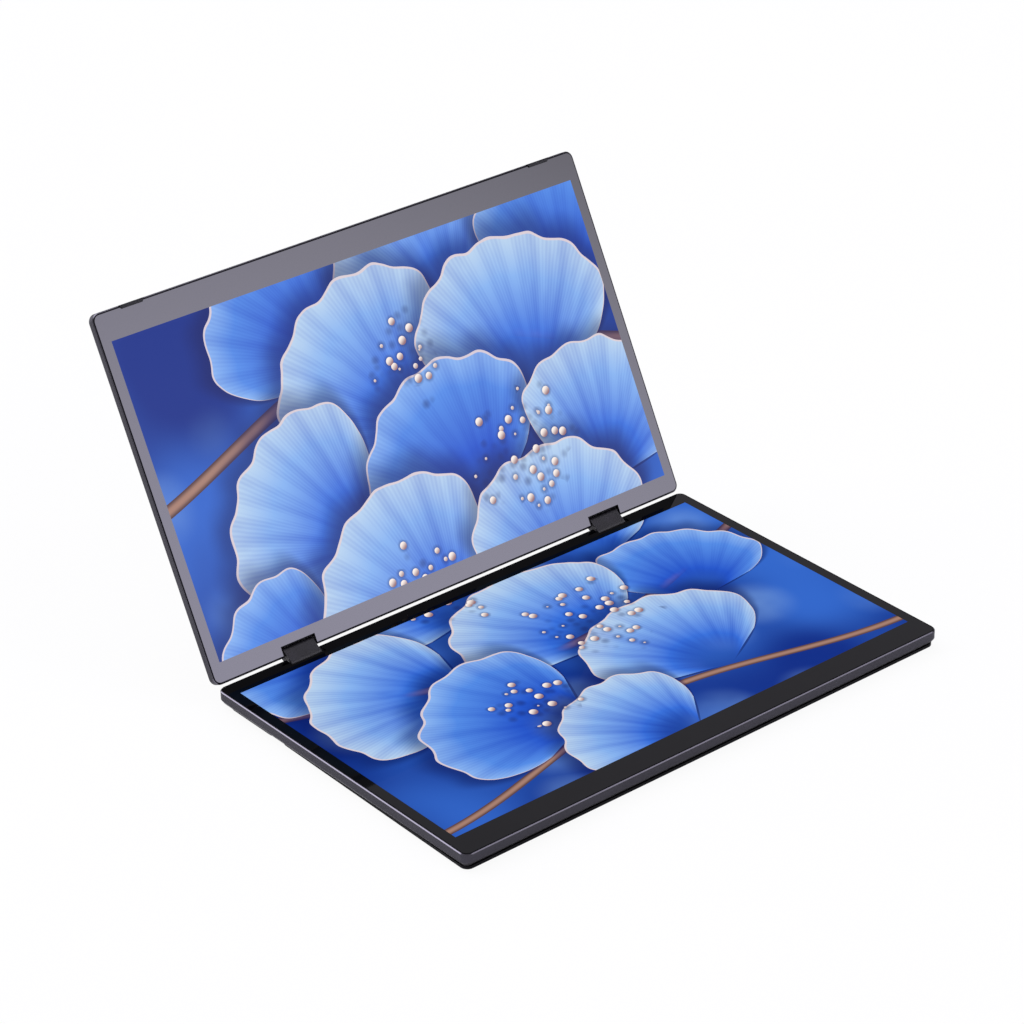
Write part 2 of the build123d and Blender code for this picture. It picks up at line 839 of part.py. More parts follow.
def speaker_slots():
    """Slots in the wall at the hinge edge, in front of the right speaker."""
    middle = (lower_floor_top + backlight_back) / 2
    first = speaker_place - (speaker_slot_count - 1) * speaker_slot_pitch / 2
    outline = SlotOverall(speaker_slot_length, speaker_slot_width)
    slots = [Pos(first + step * speaker_slot_pitch, 0, middle) * Rot(90, 0, 0)
             * extrude(outline, wall + inner_gap, both=True) for step in range(speaker_slot_count)]
    return Part() + slots


def stand_pocket(grow=0.0):
    """Space of the right stand hinge in the underside, grown by a wall."""
    reach = stand_hinge_width / 2 + stand_pocket_gap + grow
    start = stand_axis_place - stand_leaf_back - stand_pocket_gap / 2 - grow
    end = stand_axis_place + stand_leaf_front + stand_pocket_gap + grow
    return block((stand_hinge_offset - reach, stand_hinge_offset + reach), (start, end),
                 (base_top - cut_past + grow, pocket_top + grow))


def lower_rear_cover():
    """Rear cover of the lower monitor, with socket holes, stand pockets and standoffs."""
    tray = rear_cover(lower_thickness, lower_bevel_in, lower_bevel_height)
    inside = block((-half_width, half_width), (0, outer_depth), (lower_floor_top, 0))
    for roof in both_sides(stand_pocket(floor) & inside):
        tray += roof
    for cut in both_sides(stand_pocket()):
        tray -= cut
    for cut in both_sides(speaker_slots()):
        tray -= cut
    for x, y in board_screw_places():
        tray += post(x, y, (lower_floor_top, board_back), screw_radius + boss_wall)
        tray -= post(x, y, (lower_floor_top, board_back), screw_radius + screw_hole_gap)
    for x, y in rail_screw_spots():
        tray += post(x, y, (lower_floor_top, lower_floor_top + rail_boss_height),
                     screw_radius + boss_wall)
        tray -= post(x, y, (base_top, base_top + rail_screw_bite + screw_end_gap),
                     screw_radius + screw_hole_gap)
    for x, y in stand_leaf_screw_spots():
        for cut in both_sides(post(x, y, (pocket_top, pocket_top + leaf_screw_length + screw_end_gap),
                                   screw_radius + screw_hole_gap)):
            tray -= cut
    for place in usb_places:
        tray -= wall_hole(slot_face(usb_width + 2 * socket_hole_gap,
                                    usb_height + 2 * socket_hole_gap), place, socket_middle)
    tray -= wall_hole(hdmi_outline(socket_hole_gap), hdmi_place, socket_middle)
    tray -= wall_hole(Circle(jack_nose_radius + socket_hole_gap), jack_place, jack_middle)
    for place, length in ((power_place, power_length), (rocker_place, rocker_length)):
        tray -= wall_hole(slot_face(length + 2 * key_gap, key_height + 2 * key_gap),
                          place, socket_middle)
    return tray


# Base under the lower monitor

def rail_screw_spots():
    """Screw places of the rear foot rail."""
    middle = foot_start + foot_depth / 2
    ends = (foot_span[0] + rail_screw_end, foot_span[1] - rail_screw_end)
    return [(s * place, middle) for s in (-1, 1) for place in ends]


def rear_foot_rail():
    """Flat rail under the hinge side of the lower monitor."""
    reach = half_width - rail_inset
    rail = block((-reach, reach), (rail_start, rail_end), (base_bottom, base_top), rail_corner)
    rail = chamfer(rail.faces().sort_by(Axis.Z)[0].edges(), stand_edge_chamfer)
    for x, y in rail_screw_spots():
        rail -= post(x, y, (base_bottom, base_top), screw_radius + screw_hole_gap)
        rail -= post(x, y, (base_bottom, base_bottom + screw_head_height),
                     screw_head_radius + screw_hole_gap)
    return rail


def rail_screws():
    """Screws of the rear foot rail, hidden under its rubber feet."""
    length = base_thickness - screw_head_height + rail_screw_bite
    return [Pos(x, y, base_bottom + screw_head_height) * Rot(180, 0, 0) * screw(0, 0, 0, length)
            for x, y in rail_screw_spots()]


def rear_feet():
    """Rubber strips under the rear foot rail."""
    strip = block(foot_span, (foot_start, foot_start + foot_depth), (ground, base_bottom),
                  foot_corner)
    return both_sides(strip)


def stand_outline():
    """Stand plate seen from below, wider at its free edge."""
    rear = half_width - rail_inset
    front = half_width - stand_front_inset
    plate = make_face(Polyline((-rear, stand_start), (rear, stand_start), (front, stand_end),
                               (-front, stand_end), close=True))
    corners = plate.vertices().sort_by(Axis.Y)
    plate = fillet(corners[:2], stand_rear_corner)
    return fillet(plate.vertices().sort_by(Axis.Y)[-2:], stand_front_corner)


def stand_plate():
    """Full-width stand plate, thinned inside between its rims and ribs."""
    plate = extrude(Pos(0, 0, base_bottom) * stand_outline(), stand_top - base_bottom)
    plate = chamfer(plate.faces().sort_by(Axis.Z)[0].edges(), stand_edge_chamfer)
    reach = half_width - rail_inset - stand_recess_margin
    pitch = (2 * reach + stand_rib_width) / stand_recess_count
    for step in range(stand_recess_count):
        left = -reach + step * pitch
        plate -= block((left, left + pitch - stand_rib_width),
                       (stand_start + stand_recess_start, stand_end - stand_recess_margin),
                       (stand_top - stand_recess_depth, stand_top), stand_recess_corner)
    station = stand_hinge_width / 2 + stand_knuckle_gap
    cut = block((stand_hinge_offset - station, stand_hinge_offset + station),
                (stand_axis_place, stand_axis_place + stand_axis_height + stand_knuckle_gap),
                (base_bottom - cut_past, base_top + cut_past))
    for side in both_sides(cut):
        plate -= side
    for x, y in stand_plate_screw_spots():
        for hole in both_sides(post(x, y, (stand_top - plate_screw_length - screw_hole_gap,
                                           stand_top), screw_radius + screw_hole_gap)):
            plate -= hole
    return plate


def stand_foot():
    """Rubber strip near the free edge of the stand plate."""
    end = stand_end - stand_foot_margin
    reach = half_width - stand_foot_side_inset
    return block((-reach, reach), (end - foot_depth, end), (ground, base_bottom), foot_corner)


def stand_knuckle(x, pin_gap):
    """Round knuckle with its pin hole, between the pair x measured from the hinge's middle."""
    barrel = rod(x, stand_axis_place, stand_axis_z, stand_axis_height)
    return barrel, rod(x, stand_axis_place, stand_axis_z, stand_pin_radius + pin_gap)


def stand_hinge_leaf():
    """Right fixed leaf: a plate screwed in the pocket, with a knuckle at each end."""
    half = stand_hinge_width / 2
    start = stand_axis_place - stand_leaf_back
    leaf = block((-half, half), (start, stand_axis_place - stand_axis_height),
                 (pocket_top - stand_leaf_thickness, pocket_top))
    for x in ((-half, stand_knuckle_width - half), (half - stand_knuckle_width, half)):
        barrel, hole = stand_knuckle(x, thread_gap)
        leaf += block(x, (stand_axis_place - stand_axis_height - stand_leaf_web, stand_axis_place),
                      (pocket_top - stand_leaf_thickness, pocket_top))
        leaf += block(x, (stand_axis_place - stand_axis_height, stand_axis_place),
                      (stand_axis_z, pocket_top))
        leaf += barrel
        leaf -= hole
    leaf = Pos(stand_hinge_offset, 0, 0) * leaf
    for x, y in stand_leaf_screw_spots():
        leaf -= post(x, y, (pocket_top - stand_leaf_thickness, pocket_top),
                     screw_radius + screw_hole_gap)
    return leaf


def stand_leaf_screw_spots():
    """Screw places of the right fixed leaf."""
    y = stand_axis_place - stand_leaf_back + stand_leaf_screw_row
    return [(stand_hinge_offset + s * stand_leaf_screw_offset, y) for s in (-1, 0, 1)]


def stand_leaf_screws():
    """Screws of both fixed leaves, driven upwards."""
    seat = pocket_top - stand_leaf_thickness
    right = [Pos(x, y, seat) * Rot(180, 0, 0)
             * screw(0, 0, 0, stand_leaf_thickness + leaf_screw_length,
                     head_height=leaf_screw_head_height)
             for x, y in stand_leaf_screw_spots()]
    return [solid for one in right for solid in both_sides(one)]


def stand_pin():
    """Right hinge pin of the stand."""
    half = stand_hinge_width / 2
    return Pos(stand_hinge_offset, 0, 0) * rod((-half, half), stand_axis_place, stand_axis_z,
                                               stand_pin_radius)


def stand_knuckle_leaf():
    """Right moving leaf: one long knuckle and a plate screwed on the stand plate."""
    half = stand_hinge_width / 2 - stand_knuckle_width - stand_knuckle_gap
    barrel, hole = stand_knuckle((-half, half), running_gap)
    plate = block((-half, half), (stand_axis_place, stand_axis_place + stand_leaf_front),
                  (stand_top, stand_top + stand_moving_leaf_thickness))
    leaf = Pos(stand_hinge_offset, 0, 0) * (barrel + plate - hole)
    for x, y in stand_plate_screw_spots():
        leaf -= post(x, y, (stand_top, stand_top + stand_moving_leaf_thickness),
                     screw_radius + screw_hole_gap)
    return leaf


def stand_plate_screw_spots():
    """Screw places of the right moving leaf."""
    return [(stand_hinge_offset + s * stand_plate_screw_offset, stand_axis_place + row)
            for s in (-1, 1) for row in stand_plate_screw_rows]


def stand_plate_screws():
    """Screws of both moving leaves."""
    right = [screw(x, y, stand_top + stand_moving_leaf_thickness,
                   stand_moving_leaf_thickness + plate_screw_length,
                   head_height=leaf_screw_head_height) for x, y in stand_plate_screw_spots()]
    return [solid for one in right for solid in both_sides(one)]


# Upper monitor: stop pads

def pad_solid(grow, z, beyond):
    """Right stop pad, longer at the free edge, grown by a gap and reaching past that edge."""
    lean = (pad_outer_length - pad_inner_length) / 2 / pad_depth
    inner = pad_inner_length / 2 + grow
    outer = inner + lean * (pad_depth + grow + beyond)
    start = outer_depth - pad_depth - grow
    end = outer_depth + beyond
    outline = make_face(Polyline((-inner, start), (inner, start), (outer, end), (-outer, end),
                                 close=True))
    return Pos(half_width - pad_inset, 0, z[0]) * extrude(outline, z[1] - z[0])


def stop_pads():
    """Rubber pads that keep the closed screens apart."""
    return both_sides(pad_solid(0, (glass_back, pad_proud), pad_bulge))


def cut_pads(shape):
    """The shape with room for both stop pads."""
    for cut in both_sides(pad_solid(pad_gap, (glass_back, cut_past), cut_past)):
        shape -= cut
    return shape


# Assembly

def place_lower(shape):
    """Lower monitor: turned so that its free edge faces the user."""
    return Rot(0, 0, 180) * shape


def link_angle():
    """Angle of the links above the table at rest, in degrees."""
    return 90 - opening_angle / 2


def lower_axis():
    """Point of the lower hinge axis, along Y and Z."""
    return -axis_inset, -axis_depth


def upper_axis():
    """Point of the upper hinge axis, along Y and Z."""
    y, z = lower_axis()
    angle = radians(link_angle())
    return y + axis_spacing * cos(angle), z + axis_spacing * sin(angle)


def place_link(shape):
    """Link: its Y axis turned to run from the lower axis to the upper one."""
    return Pos(0, *lower_axis()) * Rot(link_angle(), 0, 0) * shape


def place_upper(shape):
    """Upper monitor: leaned back by the opening angle, about the upper hinge axis."""
    turn = Rot(180 - opening_angle, 0, 0)
    return Pos(0, *upper_axis()) * turn * Pos(0, -axis_inset, axis_depth) * shape


def solids(shapes):
    """The separate solids of a shape or a list of shapes."""
    listed = shapes if isinstance(shapes, list) else [shapes]
    return [solid for shape in listed for solid in shape.solids()]


def named_sides(left_name, right_name, right_shape, lower=False):
    """Names for a right-hand shape and its mirror image, as the user sees them."""
    right, left = both_sides(right_shape)
    return {right_name: left, left_name: right} if lower else {right_name: right, left_name: left}


def lower_pieces():
    """Every piece of the lower monitor, its keys and its stand, in its own frame."""
    pieces = {
        "lower_rear_cover": lower_rear_cover(),
        "lower_mid_frame": mid_frame(),
        "lower_mid_frame_screws": mid_frame_screws(),
        "lower_cover_glass": cover_glass(),
        "lower_display_cell": display_cell(),
        "lower_backlight": backlight(),
        "lower_panel_board": panel_board(),
        "main_board": main_board(),
        "main_board_chips": main_board_chips(),
        "main_board_screws": main_board_screws(),
        "display_cable": display_cable(),
        "link_cable": link_cable(),
        "usb_c_sockets": [usb_socket(place) for place in usb_places],
        "mini_hdmi_socket": hdmi_socket(),
        "audio_jack": audio_jack(),
        "key_board": key_board(),
        "lower_bracket_screws": bracket_screws(),
        "lower_hinge_shafts": both_sides(hinge_shaft(0)),
        "lower_spring_washers": [solid for one in spring_washers() for solid in both_sides(one)],
        "lower_shaft_nuts": both_sides(shaft_nut()),
        "rear_foot_rail": rear_foot_rail(),
        "rail_screws": rail_screws(),
        "rear_feet": rear_feet(),
        "stand_hinge_leaves": both_sides(stand_hinge_leaf()),
        "stand_leaf_screws": stand_leaf_screws(),
        "stand_hinge_pins": both_sides(stand_pin()),
        "power_button": power_button(),
        "menu_rocker": menu_rocker(),
        "stand_plate": stand_plate(),
        "stand_knuckle_leaves": both_sides(stand_knuckle_leaf()),
        "stand_plate_screws": stand_plate_screws(),
        "stand_foot": stand_foot(),
    }
    pieces |= named_sides("left_speaker", "right_speaker", speaker(), lower=True)
    return pieces | named_sides("lower_left_hinge_bracket", "lower_right_hinge_bracket",
                                hinge_bracket(), lower=True)


def upper_pieces():
    """Every piece of the upper monitor, in its own frame."""
    tray = rear_cover(upper_thickness, upper_bevel_in, upper_bevel_height)
    pieces = {
        "upper_rear_cover": cut_pads(tray),
        "upper_mid_frame": mid_frame(),
        "upper_mid_frame_screws": mid_frame_screws(),
        "upper_cover_glass": cut_pads(cover_glass()),
        "upper_display_cell": display_cell(),
        "upper_backlight": backlight(),
        "upper_panel_board": panel_board(),
        "signal_cable": signal_cable(),
        "upper_bracket_screws": bracket_screws(),
        "upper_hinge_shafts": both_sides(hinge_shaft(0.5)),
        "upper_spring_washers": [solid for one in spring_washers() for solid in both_sides(one)],
        "upper_shaft_nuts": both_sides(shaft_nut()),
        "stop_pads": stop_pads(),
    }
    return pieces | named_sides("upper_left_hinge_bracket", "upper_right_hinge_bracket",
                                hinge_bracket())


def link_pieces():
    """Every piece of the two hinge links, in the link frame."""
    pieces = {"link_end_plates": [solid for one in link_plates() for solid in both_sides(one)]}
    first, second = idler_places()
    pieces["first_idler_gears"] = both_sides(idler_gear(first))
    pieces["second_idler_gears"] = both_sides(idler_gear(second))
    return pieces | named_sides("left_link_housing", "right_link_housing", link_housing())


def assembly():
    """Every node in one frame: its own name, and its solids where they lie."""
    groups = ((lower_pieces(), place_lower), (link_pieces(), place_link),
              (upper_pieces(), place_upper))
    placed = {name: [place(solid) for solid in solids(shapes)]
              for pieces, place in groups for name, shapes in pieces.items()}
    box = Compound([solid for group in placed.values() for solid in group]).bounding_box()
    home = Pos(0, -(box.min.Y + box.max.Y) / 2, -ground)
    return {name: [home * solid for solid in group] for name, group in placed.items()}


def write_parts():
    """Write one STEP file for each node."""
    os.makedirs("parts", exist_ok=True)
    for name, group in assembly().items():
        shape = group[0] if len(group) == 1 else Compound(group)
        export_step(shape, f"parts/{name}.step")


write_parts()
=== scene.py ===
import math

import bmesh
import bpy
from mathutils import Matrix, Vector


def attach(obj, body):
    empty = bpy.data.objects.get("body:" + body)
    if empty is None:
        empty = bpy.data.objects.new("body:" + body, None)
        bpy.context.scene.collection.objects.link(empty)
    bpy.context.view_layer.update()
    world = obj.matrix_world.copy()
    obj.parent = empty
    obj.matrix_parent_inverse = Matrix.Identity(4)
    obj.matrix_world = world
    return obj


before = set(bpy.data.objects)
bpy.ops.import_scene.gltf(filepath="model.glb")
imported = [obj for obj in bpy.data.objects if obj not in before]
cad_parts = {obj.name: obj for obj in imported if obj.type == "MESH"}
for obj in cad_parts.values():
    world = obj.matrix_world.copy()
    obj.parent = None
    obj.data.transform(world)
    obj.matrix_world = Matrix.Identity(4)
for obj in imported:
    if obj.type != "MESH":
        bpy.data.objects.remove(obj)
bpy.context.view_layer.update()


# Rear covers of both monitors: shallow trays milled from aluminium plate, bead-blasted and
# anodised dark grey. The blasting leaves an even fine grain, and handling leaves faint smears.
# Rim top and upper bevel: near-black. The lighter line cut below them is partly painted
# highlight.


def paint(red, green, blue):
    """A colour as it is read off a paint card, 0 to 255, as the shader wants it."""
    full, darkest, dark_slope = 255, 10, 3295
    lift, curve = 0.055, 2.4
    return (*(((part / full + lift) / (1 + lift)) ** curve if part > darkest
              else part / dark_slope for part in (red, green, blue)), 1.0)


class Wire:
    """One shader socket that can be added, multiplied and compared like a number."""

    def __init__(self, tree, socket=None):
        self.tree, self.socket = tree, socket

    def node(self, kind, settings=None, inputs=None, out=0):
        """Adds a node: its type, its settings, the values or wires of its sockets."""
        node = self.tree.nodes.new(kind)
        for name, value in (settings or {}).items():
            if name == "stops":
                ramp = node.color_ramp.elements
                while len(ramp) < len(value):
                    ramp.new(0.5)
                for stop, (share, colour) in zip(ramp, value):
                    stop.position, stop.color = share, colour
            else:
                setattr(node, name, value)
        for key, value in (inputs or {}).items():
            if isinstance(value, Wire):
                self.tree.links.new(value.socket, node.inputs[key])
            else:
                node.inputs[key].default_value = value
        return Wire(self.tree, node.outputs[out] if node.outputs else None)

    def maths(self, operation, *terms):
        return self.node("ShaderNodeMath", {"operation": operation}, dict(enumerate(terms)))

    def __add__(self, other):
        return self.maths("ADD", self, other)

    def __sub__(self, other):
        return self.maths("SUBTRACT", self, other)

    def __rsub__(self, other):
        return self.maths("SUBTRACT", other, self)

    def __mul__(self, other):
        return self.maths("MULTIPLY", self, other)

    def __truediv__(self, other):
        return self.maths("DIVIDE", self, other)

    def __pow__(self, other):
        return self.maths("POWER", self, other)

    def __lt__(self, other):
        return self.maths("LESS_THAN", self, other)

    def __gt__(self, other):
        return self.maths("GREATER_THAN", self, other)

    __radd__, __rmul__ = __add__, __mul__

    def cosine(self):
        return self.maths("COSINE", self)

    def size(self):
        return self.maths("ABSOLUTE", self)

    def most(self, other):
        return self.maths("MAXIMUM", self, other)

    def zigzag(self):
        """Runs up to a half and back to nothing with each whole step of the value."""
        return self.maths("PINGPONG", self, 0.5)

    def fade(self, start, end, low=0.0, high=1.0):
        """Runs smoothly from low to high as the value goes from start to end."""
        return self.node("ShaderNodeMapRange", {"interpolation_type": "SMOOTHSTEP"},
                         {0: self, 1: start, 2: end, 3: low, 4: high})

    def blend(self, under, over):
        """This value as the share of the second colour laid on the first."""
        return self.node("ShaderNodeMix", {"data_type": "RGBA"},
                         {0: self, 6: under, 7: over}, out=2)

    def dot(self, direction):
        return self.node("ShaderNodeVectorMath", {"operation": "DOT_PRODUCT"},
                         {0: self, 1: direction}, out=1)

    def noise(self, scale, detail=2.0, roughness=0.5):
        """Cloudy noise over this position, as many lumps in a metre as the scale says."""
        return self.node("ShaderNodeTexNoise", {}, {
            "Vector": self, "Scale": scale, "Detail": detail, "Roughness": roughness})


def new_finish(name):
    """An empty material, and the place on the piece that its recipe starts from."""
    material = bpy.data.materials.new(name)
    material.use_nodes = True
    material.node_tree.nodes.clear()
    start = Wire(material.node_tree)
    return material, start.node("ShaderNodeTexCoord", out="Object")


def skin(start, inputs):
    """Ends a recipe: the surface itself, with these values or wires."""
    surface = start.node("ShaderNodeBsdfPrincipled", {}, inputs)
    start.node("ShaderNodeOutputMaterial", {}, {"Surface": surface})


def relief(height, depth):
    """Light and shade from a height between 0 and 1, over a depth in metres."""
    return height.node("ShaderNodeBump", {}, {
        "Height": height, "Distance": depth, "Strength": 1.0}, out="Normal")


def dress(material, *names):
    """Gives CAD pieces their finish, in place of the plain one they came with."""
    for name in names:
        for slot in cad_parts[name].material_slots:
            slot.material = material


bead_scale, cloud_scale, smear_scale = 9000, 14, 55
bead_depth, smear_dulling = 0.000012, 0.07
bevel_from, bevel_to, cut_depth = 0.55, 0.85, 0.0003
# Near-black for the rim's top and upper bevel; lighter metal for the cut line, partly painted
# highlight.
rim_black, cut_metal_and_highlight = paint(20, 20, 22), paint(108, 106, 114)


def blasted_metal(name, dark, light, roughness, rim=None):
    """Anodised metal blasted with beads: grain about a tenth of a millimetre across. A rim, given
    as its direction and height, is near-black on top, with a lighter line cut along its bevel
    that is partly a painted highlight."""
    material, place = new_finish(name)
    grain = place.noise(bead_scale, 1.0)
    cloud = place.noise(cloud_scale, 3.0)
    smear = place.noise(smear_scale, 4.0, 0.6)
    colour = (cloud * 0.65 + grain * 0.35).fade(0.3, 0.7).blend(dark, light)
    gloss = smear.fade(0.35, 0.7, roughness, roughness + smear_dulling)
    if rim:
        out_of_screen, height = rim
        lean = place.node("ShaderNodeTexCoord", out="Normal").dot(out_of_screen)
        below_rim = place.dot(out_of_screen) < height - cut_depth
        # Cut line: partly painted highlight. The rest of the bevel and the rim's top are
        # near-black.
        cut_line_and_highlight = (lean > bevel_from) * (lean < bevel_to) * below_rim
        colour = cut_line_and_highlight.blend((lean > bevel_from).blend(colour, rim_black), cut_metal_and_highlight)
        gloss = gloss * (1 - cut_line_and_highlight * 0.5)
    skin(place, {
        "Base Color": colour, "Metallic": 1.0, "Roughness": gloss,
        "Normal": relief(grain, bead_depth)})
    return material


# The upper monitor leans up from lying flat, and turns on the links' far axis. The axis is a
# little inside its hinge edge and below its rim, as the near axis is in the lower monitor.
lid_lean = math.radians(62.4)
lower_edge, lower_top = 0.056955, 0.0116
pivot_back, pivot_up = 0.061898, 0.012244
axis_in, axis_down = 0.0019, 0.0035
upper_edge = pivot_back * math.cos(lid_lean) + pivot_up * math.sin(lid_lean) - axis_in
upper_top = pivot_up * math.cos(lid_lean) - pivot_back * math.sin(lid_lean) + axis_down
leaned_up = (0, math.cos(lid_lean), math.sin(lid_lean))
leaned_out = (0, -math.sin(lid_lean), math.cos(lid_lean))
cover_dark, cover_light, cover_gloss = paint(62, 61, 66), paint(70, 69, 75), 0.36
dress(blasted_metal("lower_cover_metal", cover_dark, cover_light, cover_gloss,
                    ((0, 0, 1), lower_top)), "lower_rear_cover")
dress(blasted_metal("upper_cover_metal", cover_dark, cover_light, cover_gloss,
                    (leaned_out, upper_top)), "upper_rear_cover")


# Rail along the back of the lower cover, which the feet and the stand's hinges sit on: moulded
# in black glass-filled plastic with a fine spark-eroded texture, screwed on from below.

melt_scale, melt_dulling = 30, 0.08
wheel_line_depth, wheel_dulling = 0.000006, 0.12


def moulded(name, dark, light, roughness, texture=1400, depth=0.00003):
    """Moulded plastic: the fine pebble of the mould's eroded face, a little uneven in gloss."""
    material, place = new_finish(name)
    pebble = place.noise(texture, 2.0, 0.55)
    flow = place.noise(melt_scale, 2.0)
    skin(place, {
        "Base Color": (pebble * 0.5 + flow * 0.5).fade(0.35, 0.65).blend(dark, light),
        "Roughness": flow.fade(0.3, 0.7, roughness, roughness + melt_dulling),
        "Normal": relief(pebble, depth)})
    return material


def plated(name, dark, light, roughness, brushing=(40, 40, 2500)):
    """Plated or ground metal, with the fine lines that the last pass of the wheel leaves."""
    material, place = new_finish(name)
    along = place.node("ShaderNodeVectorMath", {"operation": "MULTIPLY"}, {0: place, 1: brushing})
    lines = along.noise(1.0, 3.0, 0.6)
    skin(place, {
        "Base Color": lines.fade(0.3, 0.7).blend(dark, light), "Metallic": 1.0,
        "Roughness": lines.fade(0.3, 0.7, roughness, roughness + wheel_dulling),
        "Normal": relief(lines, wheel_line_depth)})
    return material


rail_black = moulded("rail_plastic_black", paint(34, 34, 37), paint(44, 44, 48), 0.5)
screw_steel = plated("zinc_plated_screw", paint(150, 151, 155), paint(186, 187, 190), 0.26)
dress(rail_black, "rear_foot_rail")
dress(screw_steel, "rail_screws")


# Feet and pads: black rubber, pressed in sheets, cut to size and glued on. Its dull skin takes
# dust in its pores.

pore_scale, pore_depth, dust_scale = 2600, 0.00004, 120


def rubber(name, dark, light):
    """Rubber with fine pores, paler where dust has settled."""
    material, place = new_finish(name)
    pores = place.noise(pore_scale, 3.0, 0.7)
    dust = place.noise(dust_scale, 4.0, 0.7)
    skin(place, {
        "Base Color": dust.fade(0.45, 0.75).blend(dark, light),
        "Roughness": pores.fade(0.3, 0.7, 0.62, 0.8),
        "Normal": relief(pores, pore_depth)})
    return material


foot_rubber = rubber("black_foot_rubber", paint(24, 24, 26), paint(33, 33, 35))
dress(foot_rubber, "rear_feet", "stand_foot", "stop_pads")


# Folding stand: a flat plate of black anodised aluminium on two pinned hinges, whose steel
# leaves are stamped, blacked and held by small screws.

stand_black = blasted_metal("stand_black_anodised", paint(24, 24, 26), paint(30, 30, 33), 0.42)
hinge_black = moulded("blacked_hinge_leaf", paint(40, 40, 43), paint(52, 52, 56), 0.38,
                      texture=3000, depth=0.00001)
pin_steel = plated("ground_hinge_steel", paint(160, 161, 166), paint(196, 197, 201), 0.2)
dress(stand_black, "stand_plate")
dress(hinge_black, "stand_hinge_leaves", "stand_knuckle_leaves")
dress(pin_steel, "stand_hinge_pins")
dress(screw_steel, "stand_leaf_screws", "stand_plate_screws")


# Mid frames, keys, speaker cases and the audio jack's body: black glass-filled plastic from
# textured moulds. The frames are screwed into the covers, and the keys sit loose in their holes.

frame_plastic = moulded("frame_plastic_black", paint(50, 50, 54), paint(60, 60, 64), 0.55)
key_plastic = moulded("key_plastic_black", paint(52, 52, 57), paint(62, 62, 67), 0.42,
                      texture=2200, depth=0.00002)
case_plastic = moulded("speaker_case_black", paint(40, 40, 42), paint(50, 50, 52), 0.6)
jack_plastic = moulded("jack_plastic_black", paint(28, 28, 30), paint(36, 36, 38), 0.45)
dress(frame_plastic, "lower_mid_frame", "upper_mid_frame")
dress(key_plastic, "power_button", "menu_rocker")
dress(case_plastic, "left_speaker", "right_speaker")
dress(jack_plastic, "audio_jack")
dress(screw_steel, "lower_mid_frame_screws", "upper_mid_frame_screws")


# Backlights and display cells: a white light guide in a thin case, and the laminated glass cell
# that lies on it, smoke grey when unlit, with the film's faint mottle.

light_film = moulded("backlight_film_white", paint(226, 226, 230), paint(238, 238, 242), 0.35,
                     texture=900, depth=0.000008)
cell_glass = moulded("display_cell_smoke", paint(30, 31, 40), paint(38, 39, 49), 0.12,
                     texture=400, depth=0.000002)
dress(light_film, "lower_backlight", "upper_backlight")
dress(cell_glass, "lower_display_cell", "upper_display_cell")


# Circuit boards: green solder mask over copper, whose tracks show as slightly lighter lines
# on a square grid, with black moulded chips on top.

track_share, track_depth, bend_scale = 0.16, 0.00003, 60


def solder_mask(name, mask, track, pitch):
    """Board face: runs of tracks one way or the other, with soft bends where they drift."""
    material, place = new_finish(name)
    warp = place.noise(bend_scale, 1.0) * 0.5
    across = place.dot((1, 0, 0)) * (1 / pitch) + warp * 3
    down = place.dot((0, 1, 0)) * (1 / pitch) + warp * 4
    lines = (across.zigzag() < track_share) * (warp > 0.24)
    rungs = (down.zigzag() < track_share) * (warp < 0.24)
    copper = lines.most(rungs)
    skin(place, {
        "Base Color": copper.blend(mask, track),
        "Roughness": copper.fade(0, 1, 0.3, 0.38), "Normal": relief(copper, track_depth)})
    return material


board_green = solder_mask("solder_mask_green", paint(16, 82, 54), paint(34, 112, 74), 0.0016)
chip_black = moulded("chip_case_black", paint(30, 30, 32), paint(38, 38, 40), 0.45,
                     texture=3000, depth=0.00001)
dress(board_green, "main_board", "key_board", "lower_panel_board", "upper_panel_board")
dress(chip_black, "main_board_chips")
dress(screw_steel, "main_board_screws")


# Flat cables: copper lines a millimetre apart between two layers of cream film, which are
# pressed together hot. The lines show through, and the ends push into flat plugs.

film_depth, line_core, line_edge = 0.00002, 0.18, 0.26


def flat_film(name, film, line, pitch):
    """Film with lines along it, each as a low ridge that is a little glossier."""
    material, place = new_finish(name)
    lines = place.dot((1 / pitch, 0, 0)).zigzag().fade(line_core, line_edge, 1.0, 0.0)
    skin(place, {
        "Base Color": (lines * 0.7).blend(film, line),
        "Roughness": lines.fade(0, 1, 0.42, 0.34), "Normal": relief(lines, film_depth)})
    return material


cable_film = flat_film("flat_cable_film", paint(214, 206, 190), paint(170, 150, 120), 0.001)
dress(cable_film, "display_cable", "link_cable", "signal_cable")


# Sockets: shells folded from nickel-plated steel strip and soldered to the board. Their mouths
# come up to the openings in the side wall.

nickel = plated("nickel_socket_shell", paint(178, 178, 182), paint(206, 206, 209), 0.22,
                brushing=(60, 900, 60))
dress(nickel, "usb_c_sockets", "mini_hdmi_socket")


# Hinges inside the covers: stamped and plated brackets, hardened shafts ground to size, and
# the spring washers and nuts that give the lid its drag.

bracket_steel = plated("stamped_bracket_steel", paint(168, 168, 170), paint(196, 196, 198), 0.3)
dress(bracket_steel, "lower_left_hinge_bracket", "lower_right_hinge_bracket",
      "upper_left_hinge_bracket", "upper_right_hinge_bracket")
dress(pin_steel, "lower_hinge_shafts", "upper_hinge_shafts", "lower_spring_washers",
      "upper_spring_washers", "lower_shaft_nuts", "upper_shaft_nuts", "first_idler_gears",
      "second_idler_gears")
dress(screw_steel, "lower_bracket_screws", "upper_bracket_screws")


# Hinge links: two zinc castings with end plates, smooth blocks that sit in the notches of both
# covers, painted satin black with a faint orange peel.

peel_scale, peel_depth, drift_scale = 1100, 0.00003, 90


